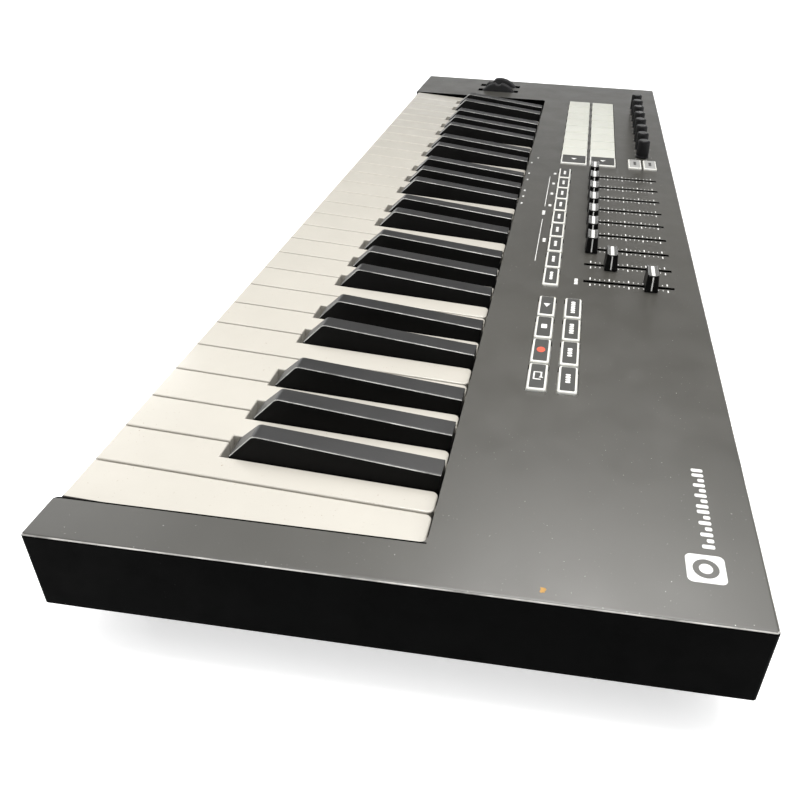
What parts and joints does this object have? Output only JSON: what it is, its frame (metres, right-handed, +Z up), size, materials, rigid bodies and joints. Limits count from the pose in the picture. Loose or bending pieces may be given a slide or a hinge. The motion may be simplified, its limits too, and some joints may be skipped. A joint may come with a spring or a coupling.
{
  "type": "midi keyboard",
  "caption": "Keyboard controller with piano-style keys, drum pads, faders, knobs, pitch and modulation wheels and a slim tapered case.",
  "frame": {"origin": "middle of the footprint, on the surface the feet stand on", "axes": "+X the player's right, +Y the rear, +Z up"},
  "size_m": [0.789, 0.258, 0.0746],
  "materials": {
    "upper_case": "satin dark grey moulding",
    "lower_case": "fine textured black moulding",
    "key_frame": "dark moulded chassis",
    "board": "green solder mask",
    "foot_rubber": "matte rubber",
    "screw": "zinc plated",
    "pad_silicone": "translucent white silicone",
    "button_silicone": "white silicone with painted tops",
    "white_key": "glossy warm white",
    "black_key": "satin black",
    "fader_cap": "satin black with a white line",
    "knob": "satin black",
    "wheel": "matte soft-touch black"
  },
  "bodies": {
    "case": {"upper_case": "upper_case", "lower_case": "lower_case", "key_frame": "key_frame", "main_board": "board", "feet": "foot_rubber", "screws": "screw"},
    "pads": {"pad_mat": "pad_silicone"},
    "buttons": {"button_mats": "button_silicone"},
    "white_c1": {"white_c1": "white_key"},
    "white_d1": {"white_d1": "white_key"},
    "white_e1": {"white_e1": "white_key"},
    "white_f1": {"white_f1": "white_key"},
    "white_g1": {"white_g1": "white_key"},
    "white_a1": {"white_a1": "white_key"},
    "white_b1": {"white_b1": "white_key"},
    "white_c2": {"white_c2": "white_key"},
    "white_d2": {"white_d2": "white_key"},
    "white_e2": {"white_e2": "white_key"},
    "white_f2": {"white_f2": "white_key"},
    "white_g2": {"white_g2": "white_key"},
    "white_a2": {"white_a2": "white_key"},
    "white_b2": {"white_b2": "white_key"},
    "white_c3": {"white_c3": "white_key"},
    "white_d3": {"white_d3": "white_key"},
    "white_e3": {"white_e3": "white_key"},
    "white_f3": {"white_f3": "white_key"},
    "white_g3": {"white_g3": "white_key"},
    "white_a3": {"white_a3": "white_key"},
    "white_b3": {"white_b3": "white_key"},
    "white_c4": {"white_c4": "white_key"},
    "white_d4": {"white_d4": "white_key"},
    "white_e4": {"white_e4": "white_key"},
    "white_f4": {"white_f4": "white_key"},
    "white_g4": {"white_g4": "white_key"},
    "white_a4": {"white_a4": "white_key"},
    "white_b4": {"white_b4": "white_key"},
    "white_c5": {"white_c5": "white_key"},
    "black_comb_1": {"black_comb_1": "black_key"},
    "black_comb_2": {"black_comb_2": "black_key"},
    "black_comb_3": {"black_comb_3": "black_key"},
    "black_comb_4": {"black_comb_4": "black_key"},
    "fader_cap_1": {"fader_cap_1": "fader_cap"},
    "fader_cap_2": {"fader_cap_2": "fader_cap"},
    "fader_cap_3": {"fader_cap_3": "fader_cap"},
    "fader_cap_4": {"fader_cap_4": "fader_cap"},
    "fader_cap_5": {"fader_cap_5": "fader_cap"},
    "fader_cap_6": {"fader_cap_6": "fader_cap"},
    "fader_cap_7": {"fader_cap_7": "fader_cap"},
    "fader_cap_8": {"fader_cap_8": "fader_cap"},
    "fader_cap_9": {"fader_cap_9": "fader_cap"},
    "knob_1": {"knob_1": "knob"},
    "knob_2": {"knob_2": "knob"},
    "knob_3": {"knob_3": "knob"},
    "knob_4": {"knob_4": "knob"},
    "knob_5": {"knob_5": "knob"},
    "knob_6": {"knob_6": "knob"},
    "knob_7": {"knob_7": "knob"},
    "knob_8": {"knob_8": "knob"},
    "pitch_wheel": {"pitch_wheel": "wheel"},
    "mod_wheel": {"mod_wheel": "wheel"}
  },
  "joints": [
    {"name": "pitch_wheel_turn", "type": "hinge", "parent": "case", "child": "pitch_wheel", "pos_m": [-0.3405, -0.043, 0.047], "axis": [-1, 0, 0], "range_deg": [-28, 28], "stiffness_Nm_per_rad": 0.02},
    {"name": "mod_wheel_turn", "type": "hinge", "parent": "case", "child": "mod_wheel", "pos_m": [-0.3645, -0.043, 0.047], "axis": [-1, 0, 0], "range_deg": [0, 56]},
    {"name": "pads_press", "type": "slide", "parent": "case", "child": "pads", "axis": [0, 0, -1], "range_m": [0, 0.0007], "stiffness_N_per_m": 1500, "springref_m": -0.0006},
    {"name": "buttons_press", "type": "slide", "parent": "case", "child": "buttons", "axis": [0, 0, -1], "range_m": [0, 0.0007], "stiffness_N_per_m": 1200, "springref_m": -0.0006},
    {"name": "fader_9_slide", "type": "slide", "parent": "case", "child": "fader_cap_9", "axis": [0, 1, 0], "range_m": [-0.035, 0.01]},
    {"name": "fader_8_slide", "type": "slide", "parent": "case", "child": "fader_cap_8", "axis": [0, 1, 0], "range_m": [-0.012, 0.033]},
    {"name": "fader_7_slide", "type": "slide", "parent": "case", "child": "fader_cap_7", "axis": [0, 1, 0], "range_m": [0, 0.045]},
    {"name": "fader_6_slide", "type": "slide", "parent": "case", "child": "fader_cap_6", "axis": [0, 1, 0], "range_m": [0, 0.045]},
    {"name": "fader_5_slide", "type": "slide", "parent": "case", "child": "fader_cap_5", "axis": [0, 1, 0], "range_m": [0, 0.045]},
    {"name": "fader_4_slide", "type": "slide", "parent": "case", "child": "fader_cap_4", "axis": [0, 1, 0], "range_m": [0, 0.045]},
    {"name": "fader_3_slide", "type": "slide", "parent": "case", "child": "fader_cap_3", "axis": [0, 1, 0], "range_m": [0, 0.045]},
    {"name": "fader_2_slide", "type": "slide", "parent": "case", "child": "fader_cap_2", "axis": [0, 1, 0], "range_m": [0, 0.045]},
    {"name": "fader_1_slide", "type": "slide", "parent": "case", "child": "fader_cap_1", "axis": [0, 1, 0], "range_m": [0, 0.045]},
    {"name": "knob_8_turn", "type": "hinge", "parent": "case", "child": "knob_8", "pos_m": [-0.123, 0.1056, 0.061], "axis": [0, 0, 1], "range_deg": [-140, 140]},
    {"name": "knob_7_turn", "type": "hinge", "parent": "case", "child": "knob_7", "pos_m": [-0.148, 0.1056, 0.061], "axis": [0, 0, 1], "range_deg": [-140, 140]},
    {"name": "knob_6_turn", "type": "hinge", "parent": "case", "child": "knob_6", "pos_m": [-0.173, 0.1056, 0.061], "axis": [0, 0, 1], "range_deg": [-140, 140]},
    {"name": "knob_5_turn", "type": "hinge", "parent": "case", "child": "knob_5", "pos_m": [-0.198, 0.1056, 0.061], "axis": [0, 0, 1], "range_deg": [-140, 140]},
    {"name": "knob_4_turn", "type": "hinge", "parent": "case", "child": "knob_4", "pos_m": [-0.223, 0.1056, 0.061], "axis": [0, 0, 1], "range_deg": [-140, 140]},
    {"name": "knob_3_turn", "type": "hinge", "parent": "case", "child": "knob_3", "pos_m": [-0.248, 0.1056, 0.061], "axis": [0, 0, 1], "range_deg": [-140, 140]},
    {"name": "knob_2_turn", "type": "hinge", "parent": "case", "child": "knob_2", "pos_m": [-0.273, 0.1056, 0.061], "axis": [0, 0, 1], "range_deg": [-140, 140]},
    {"name": "knob_1_turn", "type": "hinge", "parent": "case", "child": "knob_1", "pos_m": [-0.298, 0.1056, 0.061], "axis": [0, 0, 1], "range_deg": [-140, 140]},
    {"name": "black_comb_4_press", "type": "hinge", "parent": "case", "child": "black_comb_4", "pos_m": [0, 0.046, 0.042], "axis": [1, 0, 0], "range_deg": [0, 3.29], "stiffness_Nm_per_rad": 0.9, "springref_deg": -9.17},
    {"name": "black_comb_3_press", "type": "hinge", "parent": "case", "child": "black_comb_3", "pos_m": [0, 0.046, 0.042], "axis": [1, 0, 0], "range_deg": [0, 3.29], "stiffness_Nm_per_rad": 0.9, "springref_deg": -9.17},
    {"name": "black_comb_2_press", "type": "hinge", "parent": "case", "child": "black_comb_2", "pos_m": [0, 0.046, 0.042], "axis": [1, 0, 0], "range_deg": [0, 3.29], "stiffness_Nm_per_rad": 0.9, "springref_deg": -9.17},
    {"name": "black_comb_1_press", "type": "hinge", "parent": "case", "child": "black_comb_1", "pos_m": [0, 0.046, 0.042], "axis": [1, 0, 0], "range_deg": [0, 3.29], "stiffness_Nm_per_rad": 0.9, "springref_deg": -9.17},
    {"name": "white_c5_press", "type": "hinge", "parent": "case", "child": "white_c5", "pos_m": [0, 0.046, 0.042], "axis": [1, 0, 0], "range_deg": [0, 3.29], "stiffness_Nm_per_rad": 0.5, "springref_deg": -9.17},
    {"name": "white_b4_press", "type": "hinge", "parent": "case", "child": "white_b4", "pos_m": [0, 0.046, 0.042], "axis": [1, 0, 0], "range_deg": [0, 3.29], "stiffness_Nm_per_rad": 0.5, "springref_deg": -9.17},
    {"name": "white_a4_press", "type": "hinge", "parent": "case", "child": "white_a4", "pos_m": [0, 0.046, 0.042], "axis": [1, 0, 0], "range_deg": [0, 3.29], "stiffness_Nm_per_rad": 0.5, "springref_deg": -9.17},
    {"name": "white_g4_press", "type": "hinge", "parent": "case", "child": "white_g4", "pos_m": [0, 0.046, 0.042], "axis": [1, 0, 0], "range_deg": [0, 3.29], "stiffness_Nm_per_rad": 0.5, "springref_deg": -9.17},
    {"name": "white_f4_press", "type": "hinge", "parent": "case", "child": "white_f4", "pos_m": [0, 0.046, 0.042], "axis": [1, 0, 0], "range_deg": [0, 3.29], "stiffness_Nm_per_rad": 0.5, "springref_deg": -9.17},
    {"name": "white_e4_press", "type": "hinge", "parent": "case", "child": "white_e4", "pos_m": [0, 0.046, 0.042], "axis": [1, 0, 0], "range_deg": [0, 3.29], "stiffness_Nm_per_rad": 0.5, "springref_deg": -9.17},
    {"name": "white_d4_press", "type": "hinge", "parent": "case", "child": "white_d4", "pos_m": [0, 0.046, 0.042], "axis": [1, 0, 0], "range_deg": [0, 3.29], "stiffness_Nm_per_rad": 0.5, "springref_deg": -9.17},
    {"name": "white_c4_press", "type": "hinge", "parent": "case", "child": "white_c4", "pos_m": [0, 0.046, 0.042], "axis": [1, 0, 0], "range_deg": [0, 3.29], "stiffness_Nm_per_rad": 0.5, "springref_deg": -9.17},
    {"name": "white_b3_press", "type": "hinge", "parent": "case", "child": "white_b3", "pos_m": [0, 0.046, 0.042], "axis": [1, 0, 0], "range_deg": [0, 3.29], "stiffness_Nm_per_rad": 0.5, "springref_deg": -9.17},
    {"name": "white_a3_press", "type": "hinge", "parent": "case", "child": "white_a3", "pos_m": [0, 0.046, 0.042], "axis": [1, 0, 0], "range_deg": [0, 3.29], "stiffness_Nm_per_rad": 0.5, "springref_deg": -9.17},
    {"name": "white_g3_press", "type": "hinge", "parent": "case", "child": "white_g3", "pos_m": [0, 0.046, 0.042], "axis": [1, 0, 0], "range_deg": [0, 3.29], "stiffness_Nm_per_rad": 0.5, "springref_deg": -9.17},
    {"name": "white_f3_press", "type": "hinge", "parent": "case", "child": "white_f3", "pos_m": [0, 0.046, 0.042], "axis": [1, 0, 0], "range_deg": [0, 3.29], "stiffness_Nm_per_rad": 0.5, "springref_deg": -9.17},
    {"name": "white_e3_press", "type": "hinge", "parent": "case", "child": "white_e3", "pos_m": [0, 0.046, 0.042], "axis": [1, 0, 0], "range_deg": [0, 3.29], "stiffness_Nm_per_rad": 0.5, "springref_deg": -9.17},
    {"name": "white_d3_press", "type": "hinge", "parent": "case", "child": "white_d3", "pos_m": [0, 0.046, 0.042], "axis": [1, 0, 0], "range_deg": [0, 3.29], "stiffness_Nm_per_rad": 0.5, "springref_deg": -9.17},
    {"name": "white_c3_press", "type": "hinge", "parent": "case", "child": "white_c3", "pos_m": [0, 0.046, 0.042], "axis": [1, 0, 0], "range_deg": [0, 3.29], "stiffness_Nm_per_rad": 0.5, "springref_deg": -9.17},
    {"name": "white_b2_press", "type": "hinge", "parent": "case", "child": "white_b2", "pos_m": [0, 0.046, 0.042], "axis": [1, 0, 0], "range_deg": [0, 3.29], "stiffness_Nm_per_rad": 0.5, "springref_deg": -9.17},
    {"name": "white_a2_press", "type": "hinge", "parent": "case", "child": "white_a2", "pos_m": [0, 0.046, 0.042], "axis": [1, 0, 0], "range_deg": [0, 3.29], "stiffness_Nm_per_rad": 0.5, "springref_deg": -9.17},
    {"name": "white_g2_press", "type": "hinge", "parent": "case", "child": "white_g2", "pos_m": [0, 0.046, 0.042], "axis": [1, 0, 0], "range_deg": [0, 3.29], "stiffness_Nm_per_rad": 0.5, "springref_deg": -9.17},
    {"name": "white_f2_press", "type": "hinge", "parent": "case", "child": "white_f2", "pos_m": [0, 0.046, 0.042], "axis": [1, 0, 0], "range_deg": [0, 3.29], "stiffness_Nm_per_rad": 0.5, "springref_deg": -9.17},
    {"name": "white_e2_press", "type": "hinge", "parent": "case", "child": "white_e2", "pos_m": [0, 0.046, 0.042], "axis": [1, 0, 0], "range_deg": [0, 3.29], "stiffness_Nm_per_rad": 0.5, "springref_deg": -9.17},
    {"name": "white_d2_press", "type": "hinge", "parent": "case", "child": "white_d2", "pos_m": [0, 0.046, 0.042], "axis": [1, 0, 0], "range_deg": [0, 3.29], "stiffness_Nm_per_rad": 0.5, "springref_deg": -9.17},
    {"name": "white_c2_press", "type": "hinge", "parent": "case", "child": "white_c2", "pos_m": [0, 0.046, 0.042], "axis": [1, 0, 0], "range_deg": [0, 3.29], "stiffness_Nm_per_rad": 0.5, "springref_deg": -9.17},
    {"name": "white_b1_press", "type": "hinge", "parent": "case", "child": "white_b1", "pos_m": [0, 0.046, 0.042], "axis": [1, 0, 0], "range_deg": [0, 3.29], "stiffness_Nm_per_rad": 0.5, "springref_deg": -9.17},
    {"name": "white_a1_press", "type": "hinge", "parent": "case", "child": "white_a1", "pos_m": [0, 0.046, 0.042], "axis": [1, 0, 0], "range_deg": [0, 3.29], "stiffness_Nm_per_rad": 0.5, "springref_deg": -9.17},
    {"name": "white_g1_press", "type": "hinge", "parent": "case", "child": "white_g1", "pos_m": [0, 0.046, 0.042], "axis": [1, 0, 0], "range_deg": [0, 3.29], "stiffness_Nm_per_rad": 0.5, "springref_deg": -9.17},
    {"name": "white_f1_press", "type": "hinge", "parent": "case", "child": "white_f1", "pos_m": [0, 0.046, 0.042], "axis": [1, 0, 0], "range_deg": [0, 3.29], "stiffness_Nm_per_rad": 0.5, "springref_deg": -9.17},
    {"name": "white_e1_press", "type": "hinge", "parent": "case", "child": "white_e1", "pos_m": [0, 0.046, 0.042], "axis": [1, 0, 0], "range_deg": [0, 3.29], "stiffness_Nm_per_rad": 0.5, "springref_deg": -9.17},
    {"name": "white_d1_press", "type": "hinge", "parent": "case", "child": "white_d1", "pos_m": [0, 0.046, 0.042], "axis": [1, 0, 0], "range_deg": [0, 3.29], "stiffness_Nm_per_rad": 0.5, "springref_deg": -9.17},
    {"name": "white_c1_press", "type": "hinge", "parent": "case", "child": "white_c1", "pos_m": [0, 0.046, 0.042], "axis": [1, 0, 0], "range_deg": [0, 3.29], "stiffness_Nm_per_rad": 0.5, "springref_deg": -9.17}
  ]
}
